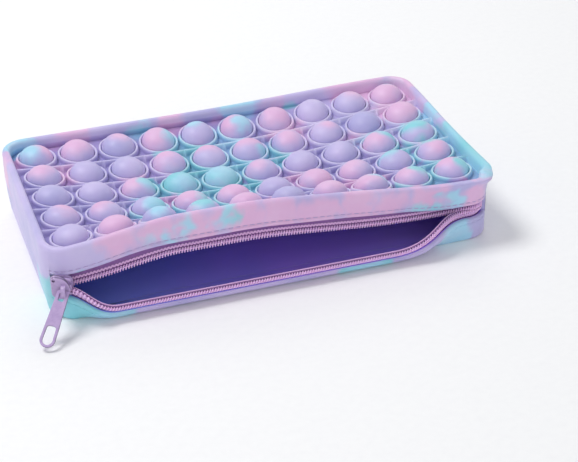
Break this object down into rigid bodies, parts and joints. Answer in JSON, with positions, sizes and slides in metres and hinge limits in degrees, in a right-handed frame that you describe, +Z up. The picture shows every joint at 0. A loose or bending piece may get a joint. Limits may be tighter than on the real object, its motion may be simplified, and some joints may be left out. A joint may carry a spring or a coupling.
{
  "type": "pencil case",
  "caption": "Soft silicone pencil case with a field of push-through bubbles on its lid and a coil zipper along one long side, shown open",
  "frame": {"origin": "centre of the base, on the surface the case stands on", "axes": "+X along the length, the way the slider closes; +Y to the back; -Y is the mouth; +Z up"},
  "size_m": [0.2094, 0.1285, 0.0396],
  "materials": {
    "silicone_tub": "satin",
    "silicone_panel": "satin",
    "silicone_upper_lip": "satin",
    "silicone_lower_lip": "satin",
    "silicone_bubble": "satin",
    "zipper_tape": "woven",
    "zipper_coil": "satin",
    "slider_paint": "satin"
  },
  "bodies": {
    "case": {"case_tub": "silicone_tub", "top_panel": "silicone_panel"},
    "upper_lip": {"upper_lip": "silicone_upper_lip", "zipper_tape_upper": "zipper_tape", "zipper_coil_upper": "zipper_coil"},
    "lower_lip": {"lower_lip": "silicone_lower_lip", "zipper_tape_lower": "zipper_tape", "zipper_coil_lower": "zipper_coil"},
    "slider": {"zipper_slider": "slider_paint"},
    "pull_tab": {"pull_tab": "slider_paint"},
    "bubble_r1_c01": {"bubble_r1_c01": "silicone_bubble"},
    "bubble_r1_c02": {"bubble_r1_c02": "silicone_bubble"},
    "bubble_r1_c03": {"bubble_r1_c03": "silicone_bubble"},
    "bubble_r1_c04": {"bubble_r1_c04": "silicone_bubble"},
    "bubble_r1_c05": {"bubble_r1_c05": "silicone_bubble"},
    "bubble_r1_c06": {"bubble_r1_c06": "silicone_bubble"},
    "bubble_r1_c07": {"bubble_r1_c07": "silicone_bubble"},
    "bubble_r1_c08": {"bubble_r1_c08": "silicone_bubble"},
    "bubble_r1_c09": {"bubble_r1_c09": "silicone_bubble"},
    "bubble_r1_c10": {"bubble_r1_c10": "silicone_bubble"},
    "bubble_r2_c01": {"bubble_r2_c01": "silicone_bubble"},
    "bubble_r2_c02": {"bubble_r2_c02": "silicone_bubble"},
    "bubble_r2_c03": {"bubble_r2_c03": "silicone_bubble"},
    "bubble_r2_c04": {"bubble_r2_c04": "silicone_bubble"},
    "bubble_r2_c05": {"bubble_r2_c05": "silicone_bubble"},
    "bubble_r2_c06": {"bubble_r2_c06": "silicone_bubble"},
    "bubble_r2_c07": {"bubble_r2_c07": "silicone_bubble"},
    "bubble_r2_c08": {"bubble_r2_c08": "silicone_bubble"},
    "bubble_r2_c09": {"bubble_r2_c09": "silicone_bubble"},
    "bubble_r2_c10": {"bubble_r2_c10": "silicone_bubble"},
    "bubble_r3_c01": {"bubble_r3_c01": "silicone_bubble"},
    "bubble_r3_c02": {"bubble_r3_c02": "silicone_bubble"},
    "bubble_r3_c03": {"bubble_r3_c03": "silicone_bubble"},
    "bubble_r3_c04": {"bubble_r3_c04": "silicone_bubble"},
    "bubble_r3_c05": {"bubble_r3_c05": "silicone_bubble"},
    "bubble_r3_c06": {"bubble_r3_c06": "silicone_bubble"},
    "bubble_r3_c07": {"bubble_r3_c07": "silicone_bubble"},
    "bubble_r3_c08": {"bubble_r3_c08": "silicone_bubble"},
    "bubble_r3_c09": {"bubble_r3_c09": "silicone_bubble"},
    "bubble_r3_c10": {"bubble_r3_c10": "silicone_bubble"},
    "bubble_r4_c01": {"bubble_r4_c01": "silicone_bubble"},
    "bubble_r4_c02": {"bubble_r4_c02": "silicone_bubble"},
    "bubble_r4_c03": {"bubble_r4_c03": "silicone_bubble"},
    "bubble_r4_c04": {"bubble_r4_c04": "silicone_bubble"},
    "bubble_r4_c05": {"bubble_r4_c05": "silicone_bubble"},
    "bubble_r4_c06": {"bubble_r4_c06": "silicone_bubble"},
    "bubble_r4_c07": {"bubble_r4_c07": "silicone_bubble"},
    "bubble_r4_c08": {"bubble_r4_c08": "silicone_bubble"},
    "bubble_r4_c09": {"bubble_r4_c09": "silicone_bubble"},
    "bubble_r4_c10": {"bubble_r4_c10": "silicone_bubble"},
    "bubble_r5_c01": {"bubble_r5_c01": "silicone_bubble"},
    "bubble_r5_c02": {"bubble_r5_c02": "silicone_bubble"},
    "bubble_r5_c03": {"bubble_r5_c03": "silicone_bubble"},
    "bubble_r5_c04": {"bubble_r5_c04": "silicone_bubble"},
    "bubble_r5_c05": {"bubble_r5_c05": "silicone_bubble"},
    "bubble_r5_c06": {"bubble_r5_c06": "silicone_bubble"},
    "bubble_r5_c07": {"bubble_r5_c07": "silicone_bubble"},
    "bubble_r5_c08": {"bubble_r5_c08": "silicone_bubble"},
    "bubble_r5_c09": {"bubble_r5_c09": "silicone_bubble"},
    "bubble_r5_c10": {"bubble_r5_c10": "silicone_bubble"}
  },
  "joints": [
    {"name": "zipper_travel", "type": "slide", "parent": "case", "child": "slider", "axis": [1, 0, 0], "range_m": [0, 0.173], "deforming": ["zipper_tape_upper", "zipper_coil_upper", "zipper_tape_lower", "zipper_coil_lower"]},
    {"name": "upper_lip_swing", "type": "hinge", "parent": "case", "child": "upper_lip", "pos_m": [0, -0.0285, 0.024], "axis": [1, 0, 0], "range_deg": [0, 18]},
    {"name": "lower_lip_swing", "type": "hinge", "parent": "case", "child": "lower_lip", "pos_m": [0, -0.051, 0.0015], "axis": [-1, 0, 0], "range_deg": [0, 70]},
    {"name": "pull_tab_swing", "type": "hinge", "parent": "slider", "child": "pull_tab", "pos_m": [-0.09389, -0.05844, 0.0176], "axis": [-0.9397, 0.342, 0], "range_deg": [-12, 110]},
    {"name": "press_r1_c01", "type": "slide", "parent": "case", "child": "bubble_r1_c01", "axis": [0, 0, -1], "range_m": [0, 0.0104]},
    {"name": "press_r1_c02", "type": "slide", "parent": "case", "child": "bubble_r1_c02", "axis": [0, 0, -1], "range_m": [0, 0.0104]},
    {"name": "press_r1_c03", "type": "slide", "parent": "case", "child": "bubble_r1_c03", "axis": [0, 0, -1], "range_m": [0, 0.0104]},
    {"name": "press_r1_c04", "type": "slide", "parent": "case", "child": "bubble_r1_c04", "axis": [0, 0, -1], "range_m": [0, 0.0104]},
    {"name": "press_r1_c05", "type": "slide", "parent": "case", "child": "bubble_r1_c05", "axis": [0, 0, -1], "range_m": [0, 0.0104]},
    {"name": "press_r1_c06", "type": "slide", "parent": "case", "child": "bubble_r1_c06", "axis": [0, 0, -1], "range_m": [0, 0.0104]},
    {"name": "press_r1_c07", "type": "slide", "parent": "case", "child": "bubble_r1_c07", "axis": [0, 0, -1], "range_m": [0, 0.0104]},
    {"name": "press_r1_c08", "type": "slide", "parent": "case", "child": "bubble_r1_c08", "axis": [0, 0, -1], "range_m": [0, 0.0104]},
    {"name": "press_r1_c09", "type": "slide", "parent": "case", "child": "bubble_r1_c09", "axis": [0, 0, -1], "range_m": [0, 0.0104]},
    {"name": "press_r1_c10", "type": "slide", "parent": "case", "child": "bubble_r1_c10", "axis": [0, 0, -1], "range_m": [0, 0.0104]},
    {"name": "press_r2_c01", "type": "slide", "parent": "case", "child": "bubble_r2_c01", "axis": [0, 0, -1], "range_m": [0, 0.0104]},
    {"name": "press_r2_c02", "type": "slide", "parent": "case", "child": "bubble_r2_c02", "axis": [0, 0, -1], "range_m": [0, 0.0104]},
    {"name": "press_r2_c03", "type": "slide", "parent": "case", "child": "bubble_r2_c03", "axis": [0, 0, -1], "range_m": [0, 0.0104]},
    {"name": "press_r2_c04", "type": "slide", "parent": "case", "child": "bubble_r2_c04", "axis": [0, 0, -1], "range_m": [0, 0.0104]},
    {"name": "press_r2_c05", "type": "slide", "parent": "case", "child": "bubble_r2_c05", "axis": [0, 0, -1], "range_m": [0, 0.0104]},
    {"name": "press_r2_c06", "type": "slide", "parent": "case", "child": "bubble_r2_c06", "axis": [0, 0, -1], "range_m": [0, 0.0104]},
    {"name": "press_r2_c07", "type": "slide", "parent": "case", "child": "bubble_r2_c07", "axis": [0, 0, -1], "range_m": [0, 0.0104]},
    {"name": "press_r2_c08", "type": "slide", "parent": "case", "child": "bubble_r2_c08", "axis": [0, 0, -1], "range_m": [0, 0.0104]},
    {"name": "press_r2_c09", "type": "slide", "parent": "case", "child": "bubble_r2_c09", "axis": [0, 0, -1], "range_m": [0, 0.0104]},
    {"name": "press_r2_c10", "type": "slide", "parent": "case", "child": "bubble_r2_c10", "axis": [0, 0, -1], "range_m": [0, 0.0104]},
    {"name": "press_r3_c01", "type": "slide", "parent": "case", "child": "bubble_r3_c01", "axis": [0, 0, -1], "range_m": [0, 0.0104]},
    {"name": "press_r3_c02", "type": "slide", "parent": "case", "child": "bubble_r3_c02", "axis": [0, 0, -1], "range_m": [0, 0.0104]},
    {"name": "press_r3_c03", "type": "slide", "parent": "case", "child": "bubble_r3_c03", "axis": [0, 0, -1], "range_m": [0, 0.0104]},
    {"name": "press_r3_c04", "type": "slide", "parent": "case", "child": "bubble_r3_c04", "axis": [0, 0, -1], "range_m": [0, 0.0104]},
    {"name": "press_r3_c05", "type": "slide", "parent": "case", "child": "bubble_r3_c05", "axis": [0, 0, -1], "range_m": [0, 0.0104]},
    {"name": "press_r3_c06", "type": "slide", "parent": "case", "child": "bubble_r3_c06", "axis": [0, 0, -1], "range_m": [0, 0.0104]},
    {"name": "press_r3_c07", "type": "slide", "parent": "case", "child": "bubble_r3_c07", "axis": [0, 0, -1], "range_m": [0, 0.0104]},
    {"name": "press_r3_c08", "type": "slide", "parent": "case", "child": "bubble_r3_c08", "axis": [0, 0, -1], "range_m": [0, 0.0104]},
    {"name": "press_r3_c09", "type": "slide", "parent": "case", "child": "bubble_r3_c09", "axis": [0, 0, -1], "range_m": [0, 0.0104]},
    {"name": "press_r3_c10", "type": "slide", "parent": "case", "child": "bubble_r3_c10", "axis": [0, 0, -1], "range_m": [0, 0.0104]},
    {"name": "press_r4_c01", "type": "slide", "parent": "case", "child": "bubble_r4_c01", "axis": [0, 0, -1], "range_m": [0, 0.0104]},
    {"name": "press_r4_c02", "type": "slide", "parent": "case", "child": "bubble_r4_c02", "axis": [0, 0, -1], "range_m": [0, 0.0104]},
    {"name": "press_r4_c03", "type": "slide", "parent": "case", "child": "bubble_r4_c03", "axis": [0, 0, -1], "range_m": [0, 0.0104]},
    {"name": "press_r4_c04", "type": "slide", "parent": "case", "child": "bubble_r4_c04", "axis": [0, 0, -1], "range_m": [0, 0.0104]},
    {"name": "press_r4_c05", "type": "slide", "parent": "case", "child": "bubble_r4_c05", "axis": [0, 0, -1], "range_m": [0, 0.0104]},
    {"name": "press_r4_c06", "type": "slide", "parent": "case", "child": "bubble_r4_c06", "axis": [0, 0, -1], "range_m": [0, 0.0104]},
    {"name": "press_r4_c07", "type": "slide", "parent": "case", "child": "bubble_r4_c07", "axis": [0, 0, -1], "range_m": [0, 0.0104]},
    {"name": "press_r4_c08", "type": "slide", "parent": "case", "child": "bubble_r4_c08", "axis": [0, 0, -1], "range_m": [0, 0.0104]},
    {"name": "press_r4_c09", "type": "slide", "parent": "case", "child": "bubble_r4_c09", "axis": [0, 0, -1], "range_m": [0, 0.0104]},
    {"name": "press_r4_c10", "type": "slide", "parent": "case", "child": "bubble_r4_c10", "axis": [0, 0, -1], "range_m": [0, 0.0104]},
    {"name": "press_r5_c01", "type": "slide", "parent": "case", "child": "bubble_r5_c01", "axis": [0, 0, -1], "range_m": [0, 0.0104]},
    {"name": "press_r5_c02", "type": "slide", "parent": "case", "child": "bubble_r5_c02", "axis": [0, 0, -1], "range_m": [0, 0.0104]},
    {"name": "press_r5_c03", "type": "slide", "parent": "upper_lip", "child": "bubble_r5_c03", "axis": [0, -0.309, -0.9511], "range_m": [0, 0.0104]},
    {"name": "press_r5_c04", "type": "slide", "parent": "upper_lip", "child": "bubble_r5_c04", "axis": [0, -0.309, -0.9511], "range_m": [0, 0.0104]},
    {"name": "press_r5_c05", "type": "slide", "parent": "upper_lip", "child": "bubble_r5_c05", "axis": [0, -0.309, -0.9511], "range_m": [0, 0.0104]},
    {"name": "press_r5_c06", "type": "slide", "parent": "upper_lip", "child": "bubble_r5_c06", "axis": [0, -0.309, -0.9511], "range_m": [0, 0.0104]},
    {"name": "press_r5_c07", "type": "slide", "parent": "upper_lip", "child": "bubble_r5_c07", "axis": [0, -0.309, -0.9511], "range_m": [0, 0.0104]},
    {"name": "press_r5_c08", "type": "slide", "parent": "case", "child": "bubble_r5_c08", "axis": [0, 0, -1], "range_m": [0, 0.0104]},
    {"name": "press_r5_c09", "type": "slide", "parent": "case", "child": "bubble_r5_c09", "axis": [0, 0, -1], "range_m": [0, 0.0104]},
    {"name": "press_r5_c10", "type": "slide", "parent": "case", "child": "bubble_r5_c10", "axis": [0, 0, -1], "range_m": [0, 0.0104]}
  ],
  "couplings": [
    {"joint": "upper_lip_swing", "follows": "zipper_travel", "rad_per_m": 1.8158},
    {"joint": "lower_lip_swing", "follows": "zipper_travel", "rad_per_m": 7.062}
  ]
}
